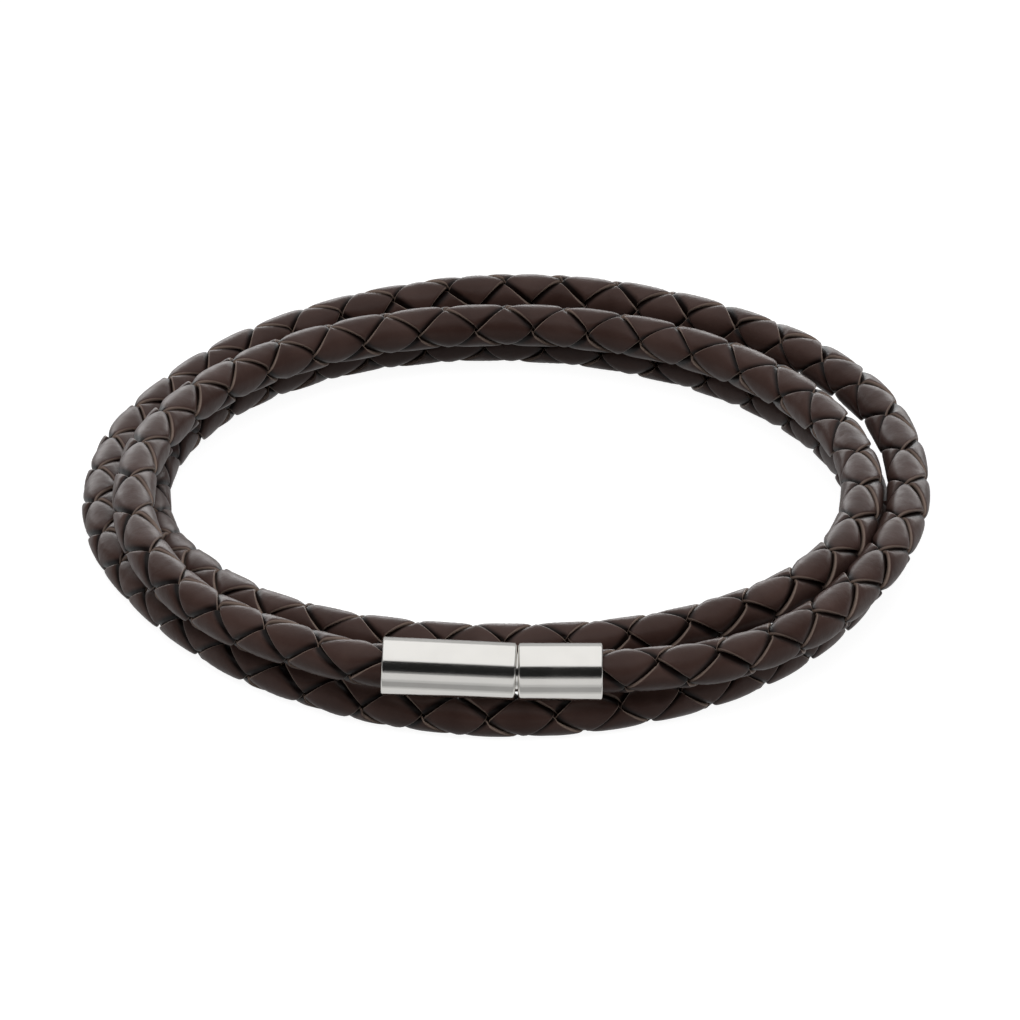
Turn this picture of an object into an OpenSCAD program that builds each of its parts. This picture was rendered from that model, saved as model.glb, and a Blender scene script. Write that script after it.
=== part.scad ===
// A leather bracelet. One braided cord goes three times round the wrist, and its two ends sit in
// the halves of a steel tube clasp. The coil lies on a surface at z = 0, with its clasp in front.

/* [Cord] */
// Diameter of the cord over the crowns of its braid
cord_d = 3.8; // [3.6:0.05:3.8]
// Depth of the hollows between the scales of its braid
hollow_depth = 0.3; // [0:0.05:0.5]
// Columns of scales round the cord, half of them leaning each way
scale_columns = 4; // [4:2:8]

/* [Clasp] */
// Outside diameter of both sleeves
clasp_d = 4.9; // [4.8:0.05:5]
// Length of the left sleeve, with the socket in its face
socket_len = 11.5; // [10.5:0.1:12]
// Length of the right sleeve, with the pin on its face
plug_len = 7.2; // [6.8:0.1:7.6]
// Depth that each end of the cord sits in its sleeve
seat_depth = 4; // [3:0.1:4.5]
// Width of the groove where the halves meet, at its narrowest
groove_w = 0.05; // [0.05:0.05:0.4]
// Diameter of the pin
pin_d = 3.4; // [3:0.1:3.4]
// Length of the pin in front of the joint
pin_len = 2.5; // [2:0.5:4]
// Angle that the left sleeve rises at, away from the joint
socket_tilt = 2.6; // [0:0.1:3]

/* [Hidden] */
LEATHER = [0.27, 0.21, 0.18];
STEEL = [0.8, 0.81, 0.83];
$fn = 96;

// Middle of the whole outline seen from above, and its lowest point, from the coil's own centre
MIDDLE = [0.03, 0.34, 0.08];
// Point where the two halves of the clasp meet
JOINT = [1.06, -36.3, 6.5];
// Lean of the left sleeve's rise, backwards from upright
SOCKET_LEAN = 28;
// Room round the cord in a sleeve, and behind its end
SEAT_GAP = 0.1;
// Room round the pin in its socket, and past its tip
PIN_GAP = 0.3;
// Radius of the rounded rims at the joint and at the mouths
FACE_RIM = 0.25;
MOUTH_RIM = 0.15;
// Width of the bevel inside each mouth
MOUTH_BEVEL = 0.25;
// Points of each ring in one column of scales: one on its middle and one on either side
POINTS = 3;
SIDES = POINTS * scale_columns;
// Place of the side points, as a share of a column from its middle: on the crown of a scale, and
// on the short line where a scale touches the next one of its column
CROWN_SHARE = 0.4;
CONTACT_SHARE = 0.2;
// Steps that each stretch of the route is measured in
STEPS = 12;
// Rings to either side over which the cord's direction is measured
REACH = 0.2;
UP = [0, 0, 1];

// The cord's way round the wrist. It leaves the plug on top of the floor turn, drops outside the
// second turn at the back, and goes down to the floor on the left. The second turn stays on the
// floor until it climbs behind the clasp, and the third rests on the second up to the socket.
// Columns: angle from the front, radius from the coil's centre, height, turn of the braid, and
// rings of the braid passed, two for each scale
ANGLE = 0;
RADIUS = 1;
HEIGHT = 2;
TURN = 3;
PASSED = 4;
COIL = [
    [18, 37.5, 6.35, -36, 1.6],
    [30, 37.8, 5.8, -23, 4.5],
    [45, 36.9, 5.4, -14, 8],
    [60, 35.8, 5.3, -8, 11],
    [90, 35.3, 5.2, 8, 16.8],
    [120, 36.2, 5.3, 24, 22.5],
    [150, 36.4, 5.4, 60, 29.5],
    [180, 37.6, 4.9, 105, 37],
    [210, 38.3, 3.3, 142, 44.7],
    [240, 37.0, 2.1, 160, 51.8],
    [270, 35.1, 2.0, 152, 58.2],
    [300, 33.6, 2.0, 145, 64.7],
    [330, 34.5, 2.0, 165, 70.6],
    [360, 35.7, 2.0, 195, 77.5],
    [390, 35.1, 2.0, 230, 84.3],
    [420, 33.5, 2.0, 245, 90.7],
    [450, 32.2, 2.0, 250, 96.9],
    [480, 32.5, 2.0, 255, 102.9],
    [510, 33.3, 2.0, 260, 109],
    [540, 34.3, 2.0, 265, 115.3],
    [570, 34.5, 2.0, 268, 121.7],
    [600, 33.1, 2.0, 272, 128],
    [630, 31.0, 2.3, 276, 134],
    [645, 30.3, 3.0, 278, 136.9],
    [660, 30.4, 4.4, 280, 139.8],
    [690, 31.8, 6.0, 285, 145.5],
    [720, 31.5, 6.4, 302, 152],
    [750, 31.9, 6.1, 326, 158.3],
    [780, 32.1, 5.9, 350, 164],
    [810, 31.1, 6.0, 362, 169.4],
    [840, 30.5, 5.7, 354, 174.6],
    [870, 30.9, 5.3, 347, 179.9],
    [900, 31.4, 5.0, 350, 186],
    [930, 31.4, 5.2, 353, 192],
    [960, 31.3, 5.7, 354, 197.8],
    [990, 32.2, 6.1, 355, 203.1],
    [1020, 34.3, 6.0, 343, 208.3],
    [1035, 35.4, 6.1, 335, 211.4],
    [1050, 36.2, 6.4, 330, 214.8],
    [1059, 37.3, 6.8, 330, 216.7],
];
// Rings passed at the points inside each sleeve
PLUG_RINGS = [-1, -0.4, 0.3];
SOCKET_RINGS = [217.8, 218.4, 219];
TURNS_ROUND = 3;

plug_axis = [1, 0, 0];
socket_axis = [
    -cos(socket_tilt),
    sin(socket_tilt) * sin(SOCKET_LEAN),
    sin(socket_tilt) * cos(SOCKET_LEAN),
];

// A row of the route for a point in a sleeve, at a distance from the joint along the sleeve's axis
function seat_row(axis, distance, turns, like, passed) =
    let (p = JOINT + axis * distance)
    [atan2(p.x, -p.y) + 360 * turns, norm([p.x, p.y]), p.z, like[TURN], passed];

// Places of the three points in each sleeve, back from its mouth
seats = [0, seat_depth / 2, seat_depth];
last_of_coil = COIL[len(COIL) - 1];
route = concat(
    [for (i = [0 : 2]) seat_row(plug_axis, plug_len - seats[2 - i], 0, COIL[0], PLUG_RINGS[i])],
    COIL,
    [
        for (i = [0 : 2])
            seat_row(socket_axis, socket_len - seats[i], TURNS_ROUND, last_of_coil, SOCKET_RINGS[i])
    ]
);

// Change of a row for each degree, from the rows on both sides of it
function slope(i) =
    let (before = route[max(i - 1, 0)], after = route[min(i + 1, len(route) - 1)])
    (after - before) / (after[ANGLE] - before[ANGLE]);

// The row a part t of the way from row i to the next one, on a smooth curve through both
function between(i, t) =
    let (h = route[i + 1][ANGLE] - route[i][ANGLE])
    route[i] * (2 * t ^ 3 - 3 * t ^ 2 + 1) + slope(i) * h * (t ^ 3 - 2 * t ^ 2 + t)
    + route[i + 1] * (3 * t ^ 2 - 2 * t ^ 3) + slope(i + 1) * h * (t ^ 3 - t ^ 2);

// The row at u, which counts the route's rows from 0
function row_at(u) = let (i = min(floor(u), len(route) - 2)) between(i, u - i);

function place(row) =
    [row[RADIUS] * sin(row[ANGLE]), -row[RADIUS] * cos(row[ANGLE]), row[HEIGHT]];

// Rings passed at each fine step of the route, with its u beside them
marks = [for (k = [0 : STEPS * (len(route) - 1)]) k / STEPS];
passed = [for (u = marks) [row_at(u)[PASSED], u]];
first_ring = PLUG_RINGS[0];
last_ring = SOCKET_RINGS[2];

function centre(ring) = place(row_at(lookup(ring, passed)));
function turn(ring) = row_at(lookup(ring, passed))[TURN];
function unit(v) = v / norm(v);

// Whether a ring crosses a column on the crown of a scale, and not on the line between two
function on_crown(column, ring) = (column + ring) % 2 == 0;

// The points of one ring round the cord
function ring_points(ring) =
    let (
        middle = centre(ring),
        along = unit(centre(ring + REACH) - centre(ring - REACH)),
        outward = unit(cross(along, UP)),
        lift = cross(outward, along),
        first = turn(ring)
    )
    [
        for (column = [0 : scale_columns - 1], side = [-1 : 1])
            let (
                crown = on_crown(column, ring),
                share = side * (crown ? CROWN_SHARE : CONTACT_SHARE),
                a = first + (column + share) * 360 / scale_columns,
                r = cord_d / 2 - (crown ? 0 : hollow_depth)
            )
            middle + r * (cos(a) * outward + sin(a) * lift)
    ];

// One sleeve up along z, closed at its face by the joint and open for the cord at its mouth
module sleeve(length, face) {
    bore_r = cord_d / 2 + SEAT_GAP;
    floor_z = length - seat_depth - SEAT_GAP;
    rotate_extrude()
        polygon(concat(
            [[0, face]],
            rim_points(clasp_d / 2, face + FACE_RIM, FACE_RIM, -90),
            rim_points(clasp_d / 2, length - MOUTH_RIM, MOUTH_RIM, 0),
            [
                [bore_r + MOUTH_BEVEL, length],
                [bore_r, length - MOUTH_BEVEL],
                [bore_r, floor_z],
                [0, floor_z],
            ]
        ));
}

// A quarter of a circle that rounds a rim, from the given angle
function rim_points(outer_r, z, r, from) =
    [for (a = [from : 15 : from + 90]) [outer_r - r + r * cos(a), z + r * sin(a)]];

module braided_cord() {
    last = (last_ring - first_ring) * SIDES;
    // Each face is split along the side of a scale, which changes its lean from ring to ring
    walls = [
        for (ring = [first_ring : last_ring - 1], side = [0 : SIDES - 1])
            let (a = (ring - first_ring) * SIDES + side, b = a - side + (side + 1) % SIDES)
            each on_crown(floor(side / POINTS), ring)
                ? [[a, b, a + SIDES], [b, b + SIDES, a + SIDES]]
                : [[a, b, b + SIDES], [a, b + SIDES, a + SIDES]]
    ];
    first_end = [for (side = [SIDES - 1 : -1 : 0]) side];
    last_end = [for (side = [0 : SIDES - 1]) last + side];
    color(LEATHER)
        translate(-MIDDLE)
            polyhedron(
                points = [for (ring = [first_ring : last_ring]) each ring_points(ring)],
                faces = concat([first_end], walls, [last_end])
            );
}

module clasp_socket() {
    socket_d = pin_d + 2 * PIN_GAP;
    // The face is set back, so that its tilt brings its edge no nearer to the plug than the groove
    face = groove_w / 2 + (clasp_d / 2 - FACE_RIM) * sin(socket_tilt);
    color(STEEL)
        translate(JOINT - MIDDLE)
            rotate([-SOCKET_LEAN, 0, 0])
                rotate([0, socket_tilt - 90, 0])
                    difference() {
                        sleeve(socket_len, face);
                        cylinder(d = socket_d, h = pin_len + PIN_GAP);
                    }
}

module clasp_plug() {
    color(STEEL)
        translate(JOINT - MIDDLE)
            rotate([0, 90, 0]) {
                sleeve(plug_len, groove_w / 2);
                translate([0, 0, -pin_len])
                    cylinder(d = pin_d, h = pin_len + groove_w);
            }
}

braided_cord();
clasp_socket();
clasp_plug();
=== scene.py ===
"""A braided leather bracelet with a steel tube clasp, lying on a pale floor.

Metres, +Z up, with the clasp to the front.
"""
import math

import bmesh
import bpy
import numpy as np
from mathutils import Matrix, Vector


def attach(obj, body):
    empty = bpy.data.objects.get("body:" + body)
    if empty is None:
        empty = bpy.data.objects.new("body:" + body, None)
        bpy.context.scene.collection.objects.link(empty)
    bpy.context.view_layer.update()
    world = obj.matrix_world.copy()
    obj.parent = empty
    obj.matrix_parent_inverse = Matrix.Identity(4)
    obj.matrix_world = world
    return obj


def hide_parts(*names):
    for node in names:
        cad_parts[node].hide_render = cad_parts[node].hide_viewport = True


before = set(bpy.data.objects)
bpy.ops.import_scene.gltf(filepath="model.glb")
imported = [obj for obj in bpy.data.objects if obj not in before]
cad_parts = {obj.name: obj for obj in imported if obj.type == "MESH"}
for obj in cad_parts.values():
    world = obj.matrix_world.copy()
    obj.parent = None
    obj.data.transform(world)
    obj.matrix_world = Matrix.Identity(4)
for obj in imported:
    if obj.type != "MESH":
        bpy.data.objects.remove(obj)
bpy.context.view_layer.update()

# Driving dimensions of the cord, as in the part's source: its diameter over the crowns of its
# braid, and its columns of scales
CORD_D = 0.0038
COLUMNS = 4

# Driving dimensions of the clasp, as in the part's source
CLASP_D = 0.0049
SOCKET_LEN = 0.0115
PLUG_LEN = 0.0072
# Depth that each end of the cord sits in its sleeve, and the room round it and behind it
SEAT_DEPTH = 0.004
SEAT_GAP = 0.0001
# Width of the groove where the halves meet, at its narrowest
GROOVE_W = 0.00005
# The pin, and the room round it in its socket and past its tip
PIN_D = 0.0034
PIN_LEN = 0.0025
PIN_GAP = 0.0003
# Radius of the rounded rims at the joint and at the mouths, and width of the bevel in each mouth
FACE_RIM = 0.00025
MOUTH_RIM = 0.00015
MOUTH_BEVEL = 0.00025
# Angle that the left sleeve rises at, away from the joint, and how far that rise leans back
SOCKET_TILT = math.radians(2.6)
SOCKET_LEAN = math.radians(28)
# Point where the halves meet, and the middle of the whole outline with its lowest point, both
# from the coil's own centre
JOINT = np.array((0.00106, -0.0363, 0.0065))
MIDDLE = np.array((0.00003, 0.00034, 0.00008))

# Columns of the route's rows: angle from the front in degrees, radius and height from the coil's
# own centre, turn of the braid in degrees, and rings of the braid passed, two for each scale
ANGLE, RADIUS, HEIGHT, TURN, PASSED = range(5)
# The cord's way round the wrist, point for point as in the part's source
COIL = [
    (18, 0.0375, 0.00635, -36, 1.6),
    (30, 0.0378, 0.00580, -23, 4.5),
    (45, 0.0369, 0.00540, -14, 8),
    (60, 0.0358, 0.00530, -8, 11),
    (90, 0.0353, 0.00520, 8, 16.8),
    (120, 0.0362, 0.00530, 24, 22.5),
    (150, 0.0364, 0.00540, 60, 29.5),
    (180, 0.0376, 0.00490, 105, 37),
    (210, 0.0383, 0.00330, 142, 44.7),
    (240, 0.0370, 0.00210, 160, 51.8),
    (270, 0.0351, 0.00200, 152, 58.2),
    (300, 0.0336, 0.00200, 145, 64.7),
    (330, 0.0345, 0.00200, 165, 70.6),
    (360, 0.0357, 0.00200, 195, 77.5),
    (390, 0.0351, 0.00200, 230, 84.3),
    (420, 0.0335, 0.00200, 245, 90.7),
    (450, 0.0322, 0.00200, 250, 96.9),
    (480, 0.0325, 0.00200, 255, 102.9),
    (510, 0.0333, 0.00200, 260, 109),
    (540, 0.0343, 0.00200, 265, 115.3),
    (570, 0.0345, 0.00200, 268, 121.7),
    (600, 0.0331, 0.00200, 272, 128),
    (630, 0.0310, 0.00230, 276, 134),
    (645, 0.0303, 0.00300, 278, 136.9),
    (660, 0.0304, 0.00440, 280, 139.8),
    (690, 0.0318, 0.00600, 285, 145.5),
    (720, 0.0315, 0.00640, 302, 152),
    (750, 0.0319, 0.00610, 326, 158.3),
    (780, 0.0321, 0.00590, 350, 164),
    (810, 0.0311, 0.00600, 362, 169.4),
    (840, 0.0305, 0.00570, 354, 174.6),
    (870, 0.0309, 0.00530, 347, 179.9),
    (900, 0.0314, 0.00500, 350, 186),
    (930, 0.0314, 0.00520, 353, 192),
    (960, 0.0313, 0.00570, 354, 197.8),
    (990, 0.0322, 0.00610, 355, 203.1),
    (1020, 0.0343, 0.00600, 343, 208.3),
    (1035, 0.0354, 0.00610, 335, 211.4),
    (1050, 0.0362, 0.00640, 330, 214.8),
    (1059, 0.0373, 0.00680, 330, 216.7),
]
TURNS_ROUND = 3
# Rings passed at the points inside each sleeve
PLUG_RINGS = (-1, -0.4, 0.3)
SOCKET_RINGS = (217.8, 218.4, 219)
PLUG_AXIS = np.array((1.0, 0.0, 0.0))
SOCKET_AXIS = np.array((
    -math.cos(SOCKET_TILT),
    math.sin(SOCKET_TILT) * math.sin(SOCKET_LEAN),
    math.sin(SOCKET_TILT) * math.cos(SOCKET_LEAN),
))
# Steps of the smooth route from one row to the next
STEPS_PER_ROW = 40
# Distance to either side over which the cord's direction is measured
REACH = 0.0005

# The braid: strips on a lattice whose crossings are one column round and one ring along apart.
# A strip keeps one lattice number and crosses the others, in turns over and under them
STRIPS_EACH_WAY = COLUMNS // 2
COLUMN_ANGLE = 2 * math.pi / COLUMNS
# Half of a strip's thickness, and the radius of its middle where it lies on top
HALF_THICK = 0.00027
TOP_R = CORD_D / 2 - HALF_THICK
# Half of a strip's way down from lying on top to passing under, how flat its wave is at both
# ends of that way, and how much longer it stays under than on top
WAVE = 0.0003
WAVE_STEEPNESS = 2.6
WAVE_BIAS = 0.02
# How far a strip's wave runs ahead of its crossings, as a share of the way between two
WAVE_LEAD = 0.02
# Width of a strip as a share of a column, and how much of that it loses where it passes under
STRIP_SHARE = 0.92
SHARE_LOST_BELOW = 0.12
# How far a strip's edge stands up on the side that faces the cord's end, and lies down on the other
SHINGLE = 0.00001
# How much of the cut edge shows on the side that lies down
LOW_SIDE_EDGE = 0.9
# Where two scales of a column touch, the lattice runs along the cord at a share of its mean pace,
# for this share of a ring to either side
TOUCH_PACE = 0.5
TOUCH_SHARE = 0.12
# Rings of the cord from an end of the route to the middle of a strip's end there
END_INSET = 0.5
# Rings of a strip's mesh from one crossing to the next, and how far they crowd between crossings
RINGS_PER_CROSSING = 16
RING_CROWDING = 0.65
# Small differences from scale to scale: of height, of place across the strip, and of tilt
UNEVEN_HEIGHT = 0.00003
UNEVEN_PLACE = 0.02
UNEVEN_TILT = 0.00006

# Half of a strip's section, from the middle of its top to the middle of its underside: place
# across as a share of the half width, height as a share of the half thickness, and how much of
# the cut edge shows there
SECTION = [
    (0.0, 1.0, 0.0),
    (0.3, 1.0, 0.0),
    (0.55, 0.98, 0.0),
    (0.75, 0.94, 0.0),
    (0.88, 0.88, 0.0),
    (0.95, 0.80, 0.0),
    (0.98, 0.68, 0.6),
    (1.0, 0.50, 1.0),
    (1.0, 0.10, 1.0),
    (1.0, -0.5, 0.3),
    (0.97, -0.9, 0.0),
    (0.85, -1.0, 0.0),
    (0.45, -1.0, 0.0),
]

# The plain core inside the strips
CORE_R = 0.00085
CORE_SIDES = 12
CORE_RING_STEP = 0.5

# Sides of the clasp's turned pieces, points of each of their roundings, and the angle past which
# an edge of theirs stays sharp
LATHE_SIDES = 128
ARC_POINTS = 9
SHARP_ANGLE = math.radians(30)

BLACK = (0, 0, 0)
WHITE = (1, 1, 1)
# Leather, from its darker to its lighter patches and on its cut edges, and the near black of the painted
# shade deep between its scales
LEATHER_DARK = (0.042, 0.021, 0.0165)
LEATHER_LIGHT = (0.074, 0.043, 0.036)
CUT_EDGE_TONE = (0.27, 0.20, 0.165)
PAINTED_SHADE_TONE = (0.004, 0.0016, 0.0012)
LEATHER_ROUGH = (0.32, 0.42)
LEATHER_SPECULAR = 0.18
STEEL_DARK = (0.91, 0.89, 0.85)
STEEL_LIGHT = (0.96, 0.94, 0.90)
STEEL_ROUGH = (0.13, 0.17)
FLOOR_TONE = (0.25, 0.25, 0.25)
CARD_TONE = (0.01, 0.01, 0.01)
# Part of a noise's values over which a tone changes, and part of the depth between the scales over which
# the painted shade darkens the leather
NOISE_SPAN = (0.3, 0.7)
PAINTED_SHADE_SPAN = (0.18, 0.45)

# Width and depth of the floor and of the sheets under it
FLOOR_SIZE = (6, 6)
# Turn about the x axis that stands a flat thing upright
UPRIGHT = math.pi / 2


def seat_rows(axis, distances, turns, braid_turn, passed):
    """Rows of the route for points inside a sleeve, at distances from the joint along its axis."""
    rows = []
    for distance, ring in zip(distances, passed):
        x, y, z = JOINT + axis * distance
        angle = math.degrees(math.atan2(x, -y)) + 360 * turns
        rows.append((angle, math.hypot(x, y), z, braid_turn, ring))
    return rows


def whole_route():
    """The coil's rows with those in both sleeves, as an array."""
    seats = np.array((0.0, SEAT_DEPTH / 2, SEAT_DEPTH))
    first = seat_rows(PLUG_AXIS, PLUG_LEN - seats[::-1], 0, COIL[0][TURN], PLUG_RINGS)
    last = seat_rows(SOCKET_AXIS, SOCKET_LEN - seats, TURNS_ROUND, COIL[-1][TURN], SOCKET_RINGS)
    return np.array(first + COIL + last)


def smooth_rows(rows):
    """Many rows on a smooth curve through the given ones, with slopes from their neighbours."""
    angle = rows[:, ANGLE]
    slope = np.empty_like(rows)
    slope[1:-1] = (rows[2:] - rows[:-2]) / (angle[2:] - angle[:-2])[:, None]
    slope[0] = (rows[1] - rows[0]) / (angle[1] - angle[0])
    slope[-1] = (rows[-1] - rows[-2]) / (angle[-1] - angle[-2])
    t = np.linspace(0, 1, STEPS_PER_ROW, endpoint=False)[:, None]
    parts = []
    for i in range(len(rows) - 1):
        h = angle[i + 1] - angle[i]
        parts.append(
            rows[i] * (2 * t**3 - 3 * t**2 + 1)
            + slope[i] * h * (t**3 - 2 * t**2 + t)
            + rows[i + 1] * (3 * t**2 - 2 * t**3)
            + slope[i + 1] * h * (t**3 - t**2)
        )
    parts.append(rows[-1:])
    return np.concatenate(parts)


def unit(v):
    """Vectors of length 1 in the directions of the given ones."""
    return v / np.linalg.norm(v, axis=-1, keepdims=True)


def interpolate(places, known_places, vectors):
    """Vectors at places along a path, from those that belong to its known places."""
    return np.stack([np.interp(places, known_places, vectors[:, i]) for i in range(3)], -1)


def walk():
    """The cord's centreline, with its outward and upward directions and its braid's turn.

    Each is given for the same steps, and so are the rings passed there.
    """
    rows = smooth_rows(whole_route())
    angle = np.radians(rows[:, ANGLE])
    x = rows[:, RADIUS] * np.sin(angle)
    y = -rows[:, RADIUS] * np.cos(angle)
    middle = np.stack([x, y, rows[:, HEIGHT]], -1)
    gaps = np.linalg.norm(np.diff(middle, axis=0), axis=1)
    s = np.concatenate([[0], np.cumsum(gaps)])
    ahead = interpolate(np.clip(s + REACH, 0, s[-1]), s, middle)
    behind = interpolate(np.clip(s - REACH, 0, s[-1]), s, middle)
    along = unit(ahead - behind)
    outward = unit(np.cross(along, (0.0, 0.0, 1.0)))
    return {
        "passed": rows[:, PASSED],
        "middle": middle - MIDDLE,
        "outward": outward,
        "lift": np.cross(outward, along),
        "turn": np.radians(rows[:, TURN]),
    }


CORD = walk()


def on_cord(rings, angle, radius):
    """Points of the cord where so many rings are passed, at an angle from its braid's own zero."""
    passed = CORD["passed"]
    middle = interpolate(rings, passed, CORD["middle"])
    outward = interpolate(rings, passed, CORD["outward"])
    lift = interpolate(rings, passed, CORD["lift"])
    turned = angle + np.interp(rings, passed, CORD["turn"])
    sideways = np.cos(turned)[..., None] * outward + np.sin(turned)[..., None] * lift
    return middle + radius[..., None] * sideways


def add_object(name, data):
    """A new object in the scene for a mesh, a light or a camera."""
    obj = bpy.data.objects.new(name, data)
    bpy.context.scene.collection.objects.link(obj)
    return obj


def tube(name, rings, **values):
    """A closed mesh through rings of points, with named values for its points kept as attributes."""
    count, sides = rings.shape[:2]
    ring = np.arange(count - 1)[:, None] * sides
    side = np.arange(sides)
    beside = (side + 1) % sides
    quads = np.stack([ring + side, ring + sides + side, ring + sides + beside, ring + beside], -1)
    ends = [list(range(sides)), list(range((count - 1) * sides, count * sides))[::-1]]
    mesh = bpy.data.meshes.new(name)
    mesh.from_pydata(rings.reshape(-1, 3).tolist(), [], quads.reshape(-1, 4).tolist() + ends)
    mesh.shade_smooth()
    for value_name, value in values.items():
        attribute = mesh.attributes.new(value_name, "FLOAT", "POINT")
        attribute.data.foreach_set("value", value.ravel().astype(np.float32))
    return add_object(name, mesh)


def height_of_wave(crossing):
    """Height of a strip's wave, from 1 where it lies on top to about -1 where it passes under."""
    high = np.tanh(WAVE_STEEPNESS * (np.cos(math.pi * crossing) - WAVE_BIAS))
    return high / math.tanh(WAVE_STEEPNESS * (1 - WAVE_BIAS))


def paused(place):
    """Rings passed at a place of the lattice, which slows down at each whole ring."""
    whole = np.round(place)
    past = place - whole
    held = np.clip(past, -TOUCH_SHARE, TOUCH_SHARE)
    pace = (0.5 - TOUCH_SHARE * TOUCH_PACE) / (0.5 - TOUCH_SHARE)
    return whole + TOUCH_PACE * held + pace * (past - held)


def uneven(rng, t, size):
    """A smooth random value along a strip, with one draw for each crossing."""
    knots = np.arange(math.floor(t[0]), math.ceil(t[-1]) + 1)
    draws = rng.uniform(-size, size, len(knots))
    part = t - np.floor(t)
    eased = np.floor(t) + part * part * (3 - 2 * part)
    return np.interp(eased, knots, draws)


def strip(name, leans_with, number):
    """One leather strip.

    On the lattice, a grows along the strips that lean one way, and b along the others.
    """
    rng = np.random.default_rng(10 * number + (1 if leans_with else 2))
    other_half = [(-across, high, edge) for across, high, edge in SECTION[-1:0:-1]]
    across, high, edge = np.array(SECTION + other_half).T
    edge = edge * np.where(across > 0, 1, LOW_SIDE_EDGE)
    first = PLUG_RINGS[0] + END_INSET - number
    last = SOCKET_RINGS[-1] - END_INSET - number
    even = np.linspace(first, last, int((last - first) * RINGS_PER_CROSSING))
    t = even + RING_CROWDING * np.sin(2 * math.pi * even) / (2 * math.pi)
    wave = height_of_wave(t - number + WAVE_LEAD + (0 if leans_with else 1))
    share = STRIP_SHARE - SHARE_LOST_BELOW * (1 - wave) / 2
    place = uneven(rng, t, UNEVEN_PLACE)
    lifted = uneven(rng, t, UNEVEN_HEIGHT)
    tilt = SHINGLE + uneven(rng, t, UNEVEN_TILT)
    beside = number + place[:, None] + share[:, None] * across / 2
    ahead = np.broadcast_to(t[:, None], beside.shape)
    a, b = (ahead, beside) if leans_with else (beside, ahead)
    radius = TOP_R - WAVE + WAVE * wave[:, None] + HALF_THICK * high
    radius = radius + lifted[:, None] + tilt[:, None] * across
    rings = on_cord(paused(a + b), COLUMN_ANGLE * (a - b), radius)
    edges = np.broadcast_to(edge, radius.shape)
    # From 0 on a scale's crown to 1 at a strip's thickness below it, for the painted shade that darkens
    # the leather deep between the scales
    hollow = np.clip((TOP_R + HALF_THICK - radius) / HALF_THICK / 2, 0, 1)
    if leans_with:
        rings, edges, hollow = rings[:, ::-1], edges[:, ::-1], hollow[:, ::-1]
    return tube(name, rings, cut_edge=edges, hollow=hollow)


def core():
    """The plain round core that the strips lie on."""
    rings = np.arange(PLUG_RINGS[0], SOCKET_RINGS[-1], CORE_RING_STEP)
    angles = np.linspace(0, 2 * math.pi, CORE_SIDES, endpoint=False)
    rings, angles = np.meshgrid(rings, angles, indexing="ij")
    return tube("core", on_cord(rings, angles, np.full_like(angles, CORE_R)))


def make_braid(leather):
    """The cord's strips and core, which stand for its CAD solid."""
    pieces = []
    for number in range(STRIPS_EACH_WAY):
        for leans_with in (True, False):
            way = "right" if leans_with else "left"
            pieces.append(strip(f"strip_{way}_{number + 1}", leans_with, number))
    pieces.append(core())
    for piece in pieces:
        piece.data.materials.append(leather)
        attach(piece, "root")
        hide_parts("braided_cord")
    return pieces


def arc(centre, radius, start):
    """Points of a quarter circle about a centre in a profile of (distance along the axis, radius)."""
    angles = np.radians(np.linspace(start, start + 90, ARC_POINTS))
    return [(centre[0] + radius * math.sin(a), centre[1] + radius * math.cos(a)) for a in angles]


def sleeve_profile(length, face):
    """The profile of a sleeve, from the rim of its face to the floor of its seat.

    Both its length and the place of its face are measured from the joint.
    """
    outer = CLASP_D / 2
    bore = CORD_D / 2 + SEAT_GAP
    floor = length - SEAT_DEPTH - SEAT_GAP
    return (
        arc((face + FACE_RIM, outer - FACE_RIM), FACE_RIM, -90)
        + arc((length - MOUTH_RIM, outer - MOUTH_RIM), MOUTH_RIM, 0)
        + [(length, bore + MOUTH_BEVEL), (length - MOUTH_BEVEL, bore), (floor, bore), (floor, 0.0)]
    )


def lathe(name, profile, axis, node, steel):
    """A turned piece of the clasp, whose profile is measured along an axis from the joint."""
    along = Vector(axis)
    sideways = along.orthogonal().normalized()
    upward = along.cross(sideways)
    bm = bmesh.new()
    rows = []
    for distance, radius in profile:
        centre = Vector(JOINT - MIDDLE) + along * distance
        count = LATHE_SIDES if radius > 0 else 1
        turns = [2 * math.pi * i / count for i in range(count)]
        rows.append([
            bm.verts.new(centre + radius * (math.cos(a) * sideways + math.sin(a) * upward)) for a in turns
        ])
    for row, after in zip(rows, rows[1:]):
        for i in range(LATHE_SIDES):
            j = (i + 1) % LATHE_SIDES
            if len(row) == 1:
                bm.faces.new((row[0], after[j], after[i]))
            elif len(after) == 1:
                bm.faces.new((row[i], row[j], after[0]))
            else:
                bm.faces.new((row[i], row[j], after[j], after[i]))
    bmesh.ops.recalc_face_normals(bm, faces=bm.faces)
    mesh = bpy.data.meshes.new(name)
    bm.to_mesh(mesh)
    bm.free()
    mesh.shade_smooth()
    mesh.set_sharp_from_angle(angle=SHARP_ANGLE)
    mesh.materials.append(steel)
    piece = add_object(name, mesh)
    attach(piece, "root")
    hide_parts(node)


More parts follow.
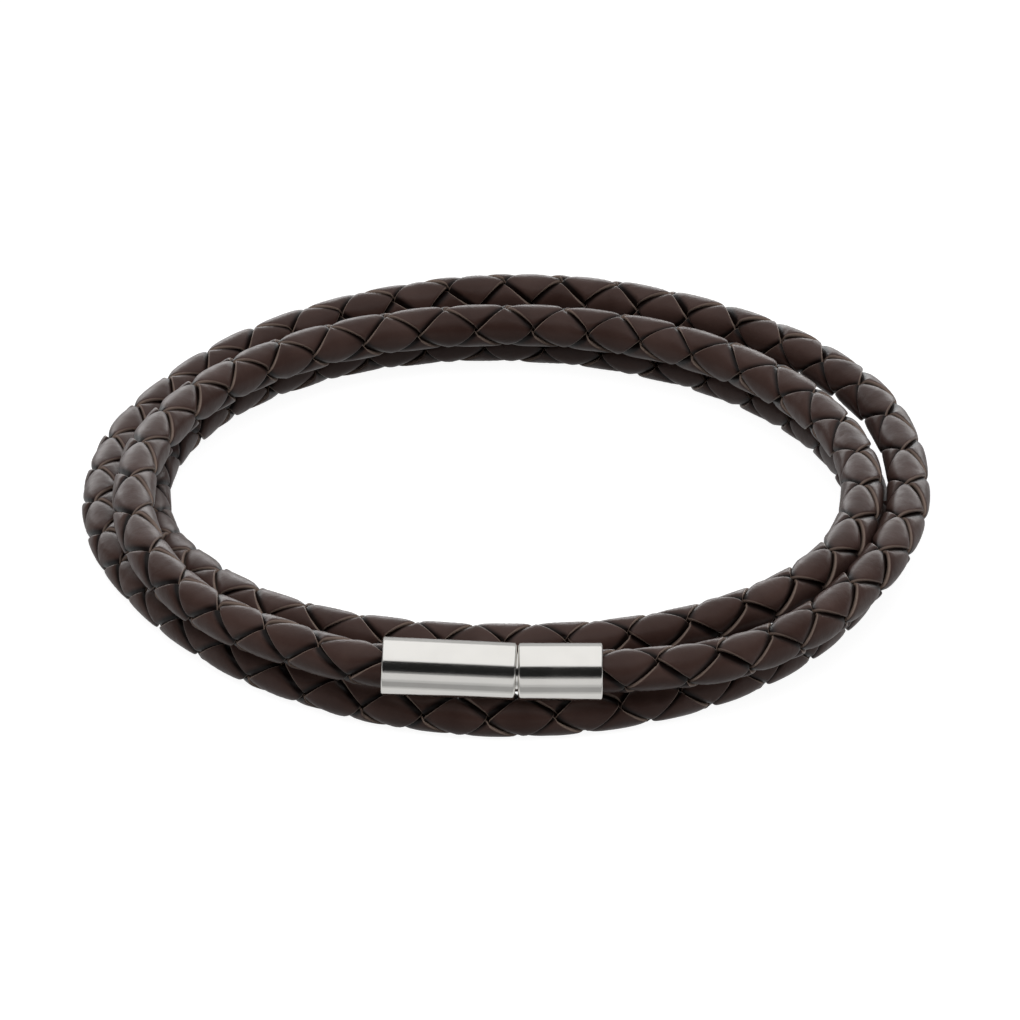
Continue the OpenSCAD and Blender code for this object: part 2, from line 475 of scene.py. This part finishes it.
def make_clasp(steel):
    """Both sleeves of the clasp, with the pin on one face and its socket in the other."""
    pin_r = PIN_D / 2
    face = GROOVE_W / 2
    pin = [(-PIN_LEN, 0.0), (-PIN_LEN, pin_r), (face, pin_r)]
    # This face is set back, so that its tilt brings its edge no nearer to the plug than the groove
    tilted_face = face + (CLASP_D / 2 - FACE_RIM) * math.sin(SOCKET_TILT)
    socket_r = pin_r + PIN_GAP
    socket_end = PIN_LEN + PIN_GAP
    socket = [(socket_end, 0.0), (socket_end, socket_r), (tilted_face, socket_r)]
    socket_sleeve = socket + sleeve_profile(SOCKET_LEN, tilted_face)
    lathe("socket_sleeve", socket_sleeve, SOCKET_AXIS, "clasp_socket", steel)
    lathe("plug_sleeve", pin + sleeve_profile(PLUG_LEN, face), PLUG_AXIS, "clasp_plug", steel)


def new_material(name, values):
    """A material with its node tree and its shader, which has values set on its own sockets."""
    material = bpy.data.materials.new(name)
    material.use_nodes = True
    shader = material.node_tree.nodes["Principled BSDF"]
    for socket, value in values.items():
        shader.inputs[socket].default_value = value
    return material, material.node_tree, shader


def noise(tree, where, scale, detail):
    """The values of a noise texture, with its scale in waves for each metre."""
    texture = tree.nodes.new("ShaderNodeTexNoise")
    texture.inputs["Scale"].default_value = scale
    texture.inputs["Detail"].default_value = detail
    tree.links.new(where, texture.inputs["Vector"])
    return texture.outputs["Fac"]


def point_value(tree, name):
    """A value that tube() keeps on the points of a mesh."""
    attribute = tree.nodes.new("ShaderNodeAttribute")
    attribute.attribute_name = name
    return attribute.outputs["Fac"]


def ramp(tree, source, span, low, high):
    """A colour that goes from low to high while the source goes through the span."""
    node = tree.nodes.new("ShaderNodeValToRGB")
    for element, place, colour in zip(node.color_ramp.elements, span, (low, high)):
        element.position = place
        element.color = (*colour, 1)
    tree.links.new(source, node.inputs["Fac"])
    return node.outputs["Color"]


def grey_ramp(tree, source, span, greys):
    """A grey that goes from the first to the second one while the source goes through the span."""
    low, high = greys
    return ramp(tree, source, span, (low,) * 3, (high,) * 3)


def tinted(tree, base, factor, colour):
    """The base colour, turned into another one as far as the factor says."""
    mix = tree.nodes.new("ShaderNodeMix")
    mix.data_type = "RGBA"
    mix.inputs["B"].default_value = (*colour, 1)
    tree.links.new(base, mix.inputs["A"])
    tree.links.new(factor, mix.inputs["Factor"])
    return mix.outputs["Result"]


def bump(tree, height, strength, distance, before=None):
    """A bump of a height in metres, on top of another one if there is one."""
    node = tree.nodes.new("ShaderNodeBump")
    node.inputs["Strength"].default_value = strength
    node.inputs["Distance"].default_value = distance
    tree.links.new(height, node.inputs["Height"])
    if before is not None:
        tree.links.new(before, node.inputs["Normal"])
    return node.outputs["Normal"]


def leather_material():
    """Brown leather with dents and pores, pale on its cut edges, and with painted shade that darkens it
    between its scales.
    """
    material, tree, shader = new_material("brown_leather", {"Specular IOR Level": LEATHER_SPECULAR})
    where = tree.nodes.new("ShaderNodeTexCoord").outputs["Object"]
    patches = noise(tree, where, scale=190, detail=4)
    waves = noise(tree, where, scale=700, detail=2)
    grain = noise(tree, where, scale=5200, detail=4)
    tone = ramp(tree, patches, NOISE_SPAN, LEATHER_DARK, LEATHER_LIGHT)
    # Painted shade: the colour goes to near black deep between the scales
    painted_shade_mask = ramp(tree, point_value(tree, "hollow"), PAINTED_SHADE_SPAN, BLACK, WHITE)
    tone = tinted(tree, tone, painted_shade_mask, PAINTED_SHADE_TONE)
    tone = tinted(tree, tone, point_value(tree, "cut_edge"), CUT_EDGE_TONE)
    tree.links.new(tone, shader.inputs["Base Color"])
    tree.links.new(grey_ramp(tree, waves, NOISE_SPAN, LEATHER_ROUGH), shader.inputs["Roughness"])
    dents = bump(tree, waves, strength=0.5, distance=0.00012)
    pores = bump(tree, grain, strength=0.25, distance=0.00004, before=dents)
    tree.links.new(pores, shader.inputs["Normal"])
    return material


def steel_material():
    """Polished steel whose tone and roughness differ a little from place to place."""
    material, tree, shader = new_material("polished_steel", {"Metallic": 1.0})
    where = tree.nodes.new("ShaderNodeTexCoord").outputs["Object"]
    patches = noise(tree, where, scale=400, detail=2)
    tone = ramp(tree, patches, NOISE_SPAN, STEEL_DARK, STEEL_LIGHT)
    tree.links.new(tone, shader.inputs["Base Color"])
    tree.links.new(grey_ramp(tree, patches, NOISE_SPAN, STEEL_ROUGH), shader.inputs["Roughness"])
    return material


def stage_material(name, tone, roughness=0.5, glow=0.0):
    """A plain material for the stage, which glows white with the given strength."""
    values = {
        "Base Color": (*tone, 1),
        "Roughness": roughness,
        "Emission Color": (*WHITE, 1),
        "Emission Strength": glow,
    }
    return new_material(name, values)[0]


def plane(name, material, size, place=(0, 0, 0), rise=0.0, camera=True, diffuse=True, glossy=True):
    """A rectangle of the stage, with the kinds of rays that see it.

    It lies flat, or its back edge is turned up by an angle.
    """
    half_x, half_y = size[0] / 2, size[1] / 2
    corners = [(-half_x, -half_y, 0), (half_x, -half_y, 0), (half_x, half_y, 0), (-half_x, half_y, 0)]
    mesh = bpy.data.meshes.new(name)
    mesh.from_pydata(corners, [], [(0, 1, 2, 3)])
    mesh.materials.append(material)
    obj = add_object(name, mesh)
    obj.location = place
    obj.rotation_euler = (rise, 0, 0)
    obj.visible_camera = camera
    obj.visible_diffuse = diffuse
    obj.visible_glossy = glossy


def glow_plane(name, material_name, glow, size, place, rise=0.0, diffuse=False, glossy=True):
    """A glowing rectangle of the stage, which the camera doesn't see, and as a rule reflections do."""
    material = stage_material(material_name, BLACK, glow=glow)
    plane(name, material, size, place, rise, camera=False, diffuse=diffuse, glossy=glossy)


def make_stage():
    """The floor, the sheets that stand in for it in light and reflections, and two cards."""
    floor = stage_material("white_floor", FLOOR_TONE, roughness=0.7, glow=0.93)
    plane("floor", floor, FLOOR_SIZE, diffuse=False, glossy=False)
    # A dark card in front, round the camera, which the camera itself doesn't see
    card = stage_material("black_card", CARD_TONE, roughness=0.9)
    elevation = math.radians(27)
    distance = 0.7
    place = (0, -distance * math.cos(elevation), distance * math.sin(elevation))
    plane("front_card", card, size=(2.4, 0.5), place=place, rise=UPRIGHT - elevation, camera=False)
    # A dark sheet under the floor, so that the undersides of the leather stay dark
    glow_plane(
        "dark_sheet", "dark_glow", glow=0.03, size=FLOOR_SIZE, place=(0, 0, -0.001),
        diffuse=True, glossy=False,
    )
    # A pale sheet under the floor, for reflections
    glow_plane("pale_sheet", "pale_glow", glow=0.62, size=FLOOR_SIZE, place=(0, 0, -0.0005))
    # Two darker strips in front of the clasp, for reflections, as the coil's soft shadow
    glow_plane(
        "shade_outer", "shade_outer_glow", glow=0.46, size=(0.05, 0.0125), place=(0, -0.047, -0.0004),
    )
    glow_plane(
        "shade_inner", "shade_inner_glow", glow=0.29, size=(0.05, 0.006), place=(0, -0.045, -0.0003),
    )
    # A pale card at the back, for the clasp's upper edge
    glow_plane("back_card", "back_glow", glow=0.42, size=(3.0, 1.2), place=(0, 1.6, 0.35), rise=UPRIGHT)


def area_light(name, place, target, size, power):
    """A rectangular light at a place, turned towards a target."""
    light = bpy.data.lights.new(name, "AREA")
    light.shape = "RECTANGLE"
    light.size, light.size_y = size
    light.energy = power
    obj = add_object(name, light)
    obj.location = place
    obj.rotation_euler = (Vector(target) - Vector(place)).to_track_quat("-Z", "Y").to_euler()
    return obj


def make_lights(lit_from_behind):
    """Soft studio light. The low light at the back lights only the given pieces."""
    world = bpy.data.worlds.new("studio")
    bpy.context.scene.world = world
    world.use_nodes = True
    background = world.node_tree.nodes["Background"]
    background.inputs["Color"].default_value = (*WHITE, 1)
    background.inputs["Strength"].default_value = 0.18
    area_light("softbox_top", place=(0, 0.32, 0.8), target=(0, 0.32, 0), size=(1.4, 2.1), power=6.3)
    behind = area_light(
        "softbox_back", place=(0, 1.0, -0.05), target=(0, 0, -0.05), size=(1.8, 0.8), power=15
    )
    lit = bpy.data.collections.new("lit_from_behind")
    for piece in lit_from_behind:
        lit.objects.link(piece)
    behind.light_linking.receiver_collection = lit
    # The fills don't show in reflections
    middle = (0, 0, 0)
    fill = area_light("fill_front", place=(0, -0.25, 0.35), target=middle, size=(0.3, 0.2), power=0.45)
    fill.visible_glossy = False
    for x in (-0.7, 0.7):
        fill = area_light("fill_side", place=(x, -0.25, 0.06), target=middle, size=(0.8, 0.2), power=1.5)
        fill.visible_glossy = False
    bpy.context.scene.view_settings.view_transform = "Standard"


def make_camera():
    """The camera at the photograph's angle, with the coil's own centre at its place in the frame."""
    elevation = math.radians(28)
    distance = 1.0
    frame_px = 1020
    px_per_metre = 11400
    centre_px = (505, 538)
    data = bpy.data.cameras.new("camera")
    data.sensor_width = 36
    data.lens = data.sensor_width * px_per_metre * distance / frame_px
    data.shift_x = (frame_px / 2 - centre_px[0]) / frame_px
    data.shift_y = (centre_px[1] - frame_px / 2) / frame_px
    camera = add_object("camera", data)
    back = Vector((0, -math.cos(elevation), math.sin(elevation)))
    camera.location = Vector(-MIDDLE) + back * distance
    camera.rotation_euler = (UPRIGHT - elevation, 0, 0)
    bpy.context.scene.camera = camera


make_camera()
leather_pieces = make_braid(leather_material())
make_clasp(steel_material())
make_stage()
make_lights(leather_pieces)
